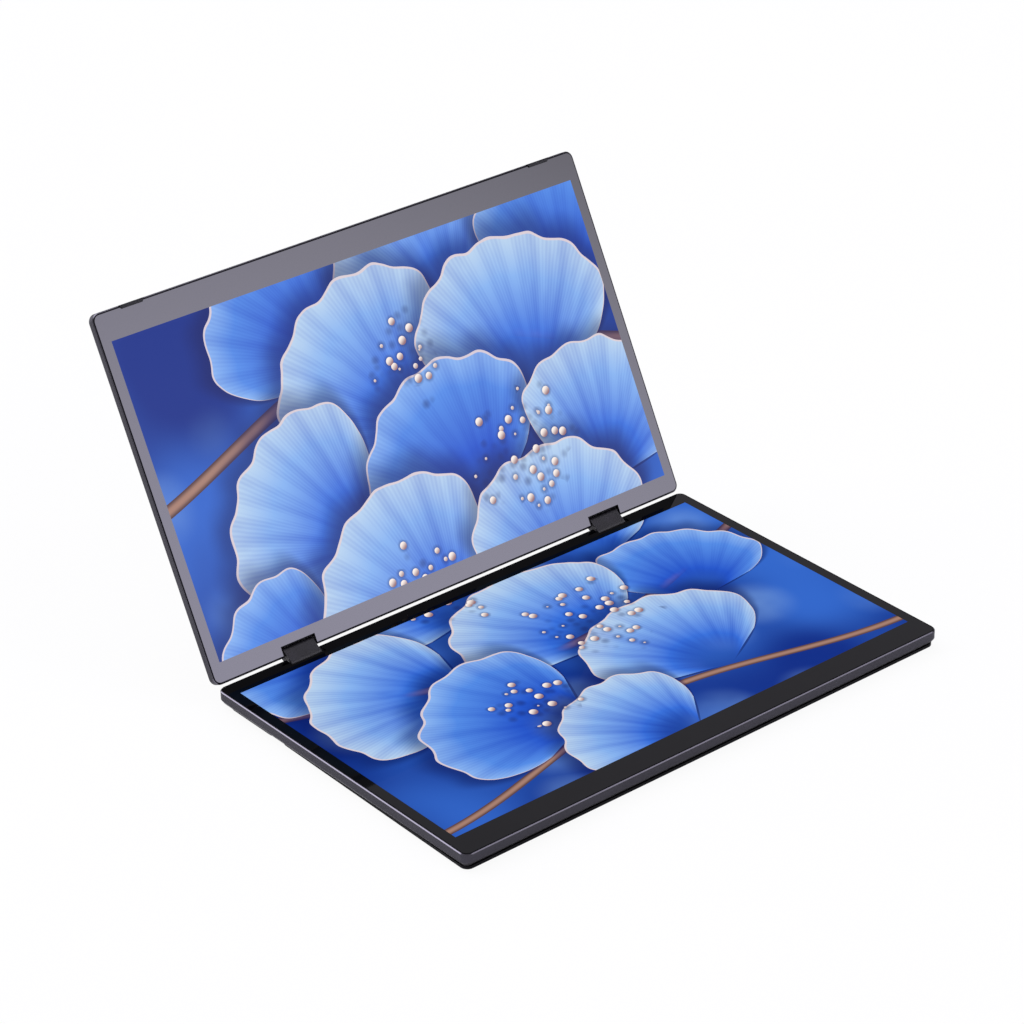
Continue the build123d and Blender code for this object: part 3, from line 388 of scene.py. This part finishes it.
def satin_paint(name, dark, light, roughness):
    """Sprayed paint under a thin clear coat, a little uneven in colour and gloss."""
    material, place = new_finish(name)
    peel = place.noise(peel_scale, 1.0)
    drift = place.noise(drift_scale, 2.0)
    skin(place, {
        "Base Color": drift.fade(0.35, 0.7).blend(dark, light),
        "Roughness": drift.fade(0.3, 0.7, roughness, roughness + 0.06),
        "Coat Weight": 0.25, "Coat Roughness": 0.22, "Normal": relief(peel, peel_depth)})
    return material


link_paint = satin_paint("link_satin_paint", paint(24, 23, 27), paint(32, 30, 36), 0.42)
dress(link_paint, "left_link_housing", "right_link_housing", "link_end_plates")


# Coves: four moulded strips of dull black plastic, clipped to the far wall of each notch. Their
# hollow face follows the turning link, and closes the gap behind it. Their near-black colour is
# partly painted shade in the notch.

notch_middle, cove_half_length = 0.1183, 0.01185
cove_reach, cove_far, cove_top = 0.00362, 0.00646, -0.0013
cove_lip, cove_lip_drop, cove_steps = 0.0002, 0.0007, 10
lower_deepest, upper_deepest = -0.0066, -0.0062
# Near-black: the strips' own plastic, and partly painted shade inside the notch.
cove_black_and_shade = moulded("cove_plastic_black_and_shade", paint(10, 10, 11), paint(15, 15, 16), 0.75)


def cove_outline(deepest):
    """The strip's section, as pairs of inward from the hinge edge and up from the rim."""
    lowest = math.asin((-deepest - axis_down) / cove_reach)
    hollow = [lowest * step / cove_steps for step in range(cove_steps + 1)]
    return ([(cove_far, cove_top), (axis_in + cove_reach + cove_lip, cove_top - cove_lip_drop)]
            + [(axis_in + cove_reach * math.cos(turn), -axis_down - cove_reach * math.sin(turn))
               for turn in hollow] + [(cove_far, deepest)])


def cove(name, body, deepest, in_monitor):
    """Two strips, left and right, pressed along the section and set in their monitor."""
    outline = cove_outline(deepest)
    count = len(outline)
    points, faces = [], []
    for side in (-1, 1):
        first = len(points)
        for end in (-cove_half_length, cove_half_length):
            points += [in_monitor(side * notch_middle + end, *pair) for pair in outline]
        near = [first + corner for corner in range(count)]
        far = [first + count + corner for corner in range(count)]
        faces += [near[::-1], far]
        faces += [[near[corner], near[(corner + 1) % count],
                   far[(corner + 1) % count], far[corner]] for corner in range(count)]
    mesh = bpy.data.meshes.new(name)
    mesh.from_pydata(points, [], faces)
    shape = bmesh.new()
    shape.from_mesh(mesh)
    bmesh.ops.recalc_face_normals(shape, faces=shape.faces)
    shape.to_mesh(mesh)
    shape.free()
    mesh.materials.append(cove_black_and_shade)
    strips = bpy.data.objects.new(name, mesh)
    bpy.context.collection.objects.link(strips)
    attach(strips, body)


def in_lower_monitor(across, inward, up):
    return across, lower_edge - inward, lower_top + up


def in_upper_monitor(across, inward, up):
    run, rise = inward - axis_in, up + axis_down
    return (across, pivot_back + run * math.cos(lid_lean) - rise * math.sin(lid_lean),
            pivot_up + run * math.sin(lid_lean) + rise * math.cos(lid_lean))


cove("lower_coves", "lower_monitor", lower_deepest, in_lower_monitor)
cove("upper_coves", "upper_monitor", upper_deepest, in_upper_monitor)


# Cover glasses: toughened glass with black ink printed round its back, bonded over each display.
# The lit picture behind them is one sheet of scallop shells and pearls that runs over both.

picture_half_width = 0.17208
picture_start, picture_end = 0.0124, 0.20599
picture_scale = 10


def night_water(place, wave):
    """The picture's ground: deep blue, with soft lit patches and round spots out of focus."""
    patches = place.noise(0.8, 1.0).fade(0.36, 0.64)
    ground = patches.blend(paint(12, 46, 136), paint(50, 104, 204))
    spots = place.node("ShaderNodeTexVoronoi", {"feature": "F1"}, {
        "Vector": place, "Scale": 1.5, "Randomness": 0.9}, out="Distance")
    spots = spots.fade(0.14, 0.46, 0.72, 0.0) * wave.fade(-0.1, 0.08)
    return spots.blend(ground, paint(120, 162, 226))


reed_core, reed_edge = paint(168, 128, 112), paint(84, 60, 62)
reed_lines = ((1.22, 0.30, 1.3, 0.042), (-0.62, -0.34, 1.1, 0.036), (-1.84, 0.16, 1.7, 0.030))


def reeds(place, under):
    """Thin brown reeds that lie across the ground behind the shells, each given by its level,
    how far it sways, how soon it sways back, and its width."""
    across, up = place.dot((1, 0, 0)), place.dot((0, 1, 0))
    for level, sway, pace, width in reed_lines:
        off = (up - (across * pace).cosine() * sway - level) / width
        bark = off.size().fade(0.1, 1.0).blend(reed_core, reed_edge)
        under = (off.size() < 1.0).blend(under, bark)
    return under


ribs_per_radian, rib_height, ripple, rim_from = 7, 0.014, 0.55, 0.986
shade_blue, groove_blue, rim_cream = paint(6, 20, 90), paint(24, 70, 190), paint(226, 208, 210)


def shell(place, wave, under, middle, reach, heading, spread, tone):
    """Lays one ribbed scallop shell over the picture, with its soft shadow below it. It fans
    out from its middle along its heading, and its tone runs from the hinge to the rim."""
    local = place.node("ShaderNodeMapping", {"vector_type": "TEXTURE"}, {
        "Vector": place, "Location": (*middle, 0.0), "Rotation": (0, 0, heading - math.pi / 2)})
    out = local.node("ShaderNodeVectorMath", {"operation": "LENGTH"}, {0: local}, out=1)
    bearing = local.maths("ARCTAN2", local.dot((1, 0, 0)), local.dot((0, 1, 0)))
    side = bearing.size() * (1 / spread)
    rib = (bearing * (round(spread * ribs_per_radian) * math.pi / spread)).cosine()
    edge = 1.0 - side ** 2 * 0.12 - side ** 8 * 0.42 + rib * rib_height
    far = out / (edge * reach) + wave * ripple
    shadow = far.fade(1.0, 1.2, 0.62, 0.0) * side.fade(1.0, 1.3, 1.0, 0.0) * far.fade(0.2, 0.6)
    under = shadow.blend(under, shade_blue)
    face = far.node("ShaderNodeValToRGB", {"stops": tone}, {0: far})
    streak = (bearing * 83.0 + wave * 40.0).cosine() * (bearing * 131.0 + far * 4.0).cosine()
    fold = (bearing * 5.0 + reach * 9.0 + wave * 8.0).cosine() * 0.10
    groove = (rib * 0.10 + streak * 0.17 + fold + 0.17) * far.fade(0.3, 1.0, 1.0, 0.65)
    face = groove.blend(face, groove_blue)
    face = ((far > rim_from) * 0.85).blend(face, rim_cream)
    mask = (far < 1.0) * (side < 1.0) * far.fade(0.10, 0.45)
    return mask.blend(under, face)


pale_shell = ((0.0, paint(20, 56, 176)), (0.4, paint(58, 116, 224)), (0.75, paint(136, 180, 240)),
              (1.0, paint(188, 213, 238)))
deep_shell = ((0.0, paint(12, 40, 148)), (0.4, paint(36, 88, 206)), (0.8, paint(86, 142, 232)),
              (1.0, paint(142, 184, 242)))
shells = (
    ((-0.30, 1.50), 0.95, 2.10, 1.20, deep_shell),
    ((0.62, 1.50), 1.00, 1.75, 1.20, pale_shell),
    ((1.45, 1.35), 0.95, 1.35, 1.20, deep_shell),
    ((0.12, 0.95), 1.05, 2.15, 1.20, pale_shell),
    ((1.00, 0.85), 1.05, 1.60, 1.20, pale_shell),
    ((-0.45, 0.40), 1.00, 2.45, 1.15, pale_shell),
    ((0.45, 0.32), 1.00, 1.95, 1.20, deep_shell),
    ((1.32, 0.22), 0.90, 1.30, 1.15, pale_shell),
    ((-0.95, -0.28), 0.85, 2.60, 1.15, deep_shell),
    ((-0.05, -0.30), 1.05, 2.15, 1.20, pale_shell),
    ((0.85, -0.35), 0.95, 1.55, 1.20, pale_shell),
    ((1.05, -1.05), 0.80, 1.25, 1.15, deep_shell),
    ((-0.72, -0.98), 0.95, 2.50, 1.20, pale_shell),
    ((0.30, -1.08), 1.00, 1.90, 1.20, pale_shell),
    ((-0.40, -1.62), 0.95, 2.35, 1.20, deep_shell),
    ((0.62, -1.72), 0.90, 1.70, 1.20, pale_shell),
    ((-0.02, -2.16), 0.80, 2.10, 1.15, pale_shell),
)
pearl_beds = (((0.78, 0.62), 0.36), ((-0.22, 0.02), 0.30), ((0.36, -0.80), 0.38),
              ((-0.50, -1.30), 0.26), ((0.16, 1.40), 0.24))
pearl_spacing, pearl_size = 13.0, 0.027
pearl_shade = paint(26, 34, 96)
pearl_dark, pearl_light = paint(150, 110, 116), paint(255, 244, 236)


def pearls(place, under):
    """Scatters cream beads in loose beds where the shells meet."""
    heart = place.node("ShaderNodeTexVoronoi", {"feature": "F1"}, {
        "Vector": place, "Scale": pearl_spacing, "Randomness": 0.7}, out="Position")
    off = place.node("ShaderNodeVectorMath", {"operation": "SUBTRACT"}, {0: place, 1: heart})
    from_heart = off.node("ShaderNodeVectorMath", {"operation": "LENGTH"}, {0: off}, out=1)
    bed = None
    for middle, reach in pearl_beds:
        away = heart.node("ShaderNodeVectorMath", {"operation": "DISTANCE"},
                          {0: heart, 1: (*middle, 0.0)}, out=1)
        inside = (away + heart.noise(6.0, 1.0) * 0.5 - 0.25) < reach
        bed = bed.most(inside) if bed else inside
    under = (from_heart.fade(0.02, 0.05, 0.6, 0.0) * bed).blend(under, pearl_shade)
    lit = off.dot((-22.0, 30.0, 0.0)).fade(-0.9, 0.8)
    bead = lit.blend(pearl_dark, pearl_light)
    return ((from_heart < pearl_size) * bed).blend(under, bead)


no_light = (0, 0, 0, 1)
ink_dark, ink_light = paint(3, 3, 4), paint(6, 6, 7)
border_coat, lit_coat, picture_lost_in_mirror = 1.0, 0.12, 0.9


def cover_glass(name, up_direction, hinge_edge):
    """Black-bordered glass over a lit picture that keeps its place across both monitors. The
    picture is weak where another surface mirrors it, so that the borders stay black."""
    material, place = new_finish(name)
    across = place.dot((1, 0, 0))
    up = place.dot(up_direction) - hinge_edge
    along = up.size()
    lit = ((across.size() < picture_half_width) * (along > picture_start)
           * (along < picture_end))
    sheet = place.node("ShaderNodeCombineXYZ", {}, {
        0: across * picture_scale, 1: up * picture_scale})
    wave = sheet.noise(2.6, 2.0) * 0.2 - 0.1
    picture = reeds(sheet, night_water(sheet, wave))
    for layer in shells:
        picture = shell(sheet, wave, picture, *layer)
    picture = pearls(sheet, picture)
    mirrored = place.node("ShaderNodeLightPath", out="Is Glossy Ray")
    shown = (mirrored * picture_lost_in_mirror).blend(picture, no_light)
    smear = place.noise(45, 4.0, 0.65)
    skin(place, {
        "Base Color": smear.fade(0.4, 0.7).blend(ink_dark, ink_light),
        "Specular IOR Level": 0.0,
        "Roughness": smear.fade(0.35, 0.7, 0.3, 0.36),
        "Coat Weight": lit.fade(0, 1, border_coat, lit_coat), "Coat Roughness": 0.03,
        "Coat IOR": 1.55,
        "Emission Color": lit.blend(no_light, shown), "Emission Strength": 1.0})
    return material


dress(cover_glass("lower_cover_glass", (0, 1, 0), lower_edge), "lower_cover_glass")
dress(cover_glass("upper_cover_glass", leaned_up, upper_edge), "upper_cover_glass")


# Floor of the studio: a pale painted sweep, much larger than the monitors. The camera sees it
# almost white, and it keeps a soft shadow.

floor_half = 30.0
floor_white, floor_white_in_mirror = 0.93, 0.3
floor_mesh = bpy.data.meshes.new("floor")
floor_mesh.from_pydata([(-floor_half, -floor_half, 0), (floor_half, -floor_half, 0),
                        (floor_half, floor_half, 0), (-floor_half, floor_half, 0)],
                       [], [(0, 1, 2, 3)])
floor = bpy.data.objects.new("floor", floor_mesh)
bpy.context.collection.objects.link(floor)
floor_finish, spot = new_finish("pale_floor")
mottle = spot.noise(3.0, 2.0).fade(0.3, 0.7)
matt = spot.node("ShaderNodeBsdfDiffuse", {}, {
    "Color": mottle.blend(paint(243, 243, 245), paint(247, 247, 249))})
glow = spot.node("ShaderNodeEmission", {}, {"Color": paint(255, 255, 255), "Strength": 1.0})
seen, mirrored, through = (spot.node("ShaderNodeLightPath", out=f"Is {ray} Ray")
                           for ray in ("Camera", "Glossy", "Transmission"))
white_share = (seen.most(through) * floor_white).most(mirrored * floor_white_in_mirror)
mixed = spot.node("ShaderNodeMixShader", {}, {0: white_share, 1: matt, 2: glow})
spot.node("ShaderNodeOutputMaterial", {}, {"Surface": mixed})
floor.data.materials.append(floor_finish)


# Studio light: a white dome with a soft box overhead, one in front, low down, and two at the
# sides, whose glint runs along the covers' cut edges. The horizon is the white backdrop.

world = bpy.data.worlds.new("studio")
bpy.context.scene.world = world
world.use_nodes = True
world.node_tree.nodes.clear()
sky = Wire(world.node_tree).node("ShaderNodeTexCoord", out="Generated")


def softbox(direction, inner, outer):
    """How much of a round soft box shows in this part of the dome, from its full middle to
    its edge, both as angles in degrees."""
    aim = Vector(direction).normalized()
    return sky.dot(aim).fade(math.cos(math.radians(outer)), math.cos(math.radians(inner)))


dome_light = 0.32
front_box = softbox((0.45, -0.87, 0.20), 5, 20)
top_box = softbox((-0.05, 0.42, 0.90), 12, 38)
left_box = softbox((-0.53, 0.77, 0.33), 14, 32)
right_box = softbox((0.56, -0.44, 0.70), 7, 17)
level = front_box * 6.2 + top_box * 2.6 + left_box * 3.4 + right_box * 1.6 + dome_light
tint = front_box.blend(paint(246, 243, 255), paint(234, 230, 255))
seen, mirrored, through = (sky.node("ShaderNodeLightPath", out=f"Is {ray} Ray")
                           for ray in ("Camera", "Glossy", "Transmission"))
horizon = sky.dot((0, 0, 1)).fade(0.03, 0.10, 1.0, 0.0) * mirrored
backdrop = seen.most(through.most(horizon))
studio = sky.node("ShaderNodeBackground", {}, {"Color": tint, "Strength": level})
plain = sky.node("ShaderNodeBackground", {}, {"Color": paint(255, 255, 255), "Strength": 1.0})
dome = sky.node("ShaderNodeMixShader", {}, {0: backdrop, 1: studio, 2: plain})
sky.node("ShaderNodeOutputWorld", {}, {"Surface": dome})


# Camera: on a stand to the left in front of the monitors, with a long lens, at the distance
# and angle that the photograph's perspective gives.

camera = bpy.data.cameras.new("camera")
camera.sensor_width, camera.lens = 36.0, 125.9
camera.clip_start, camera.clip_end = 0.01, 200
viewer = bpy.data.objects.new("camera", camera)
bpy.context.collection.objects.link(viewer)
viewer.location = (-1.1674, -1.3921, 1.0885)
viewer.rotation_euler = [math.radians(angle) for angle in (61.1018, 0.5360, -40.1353)]
bpy.context.scene.camera = viewer
bpy.context.scene.view_settings.view_transform = "Standard"
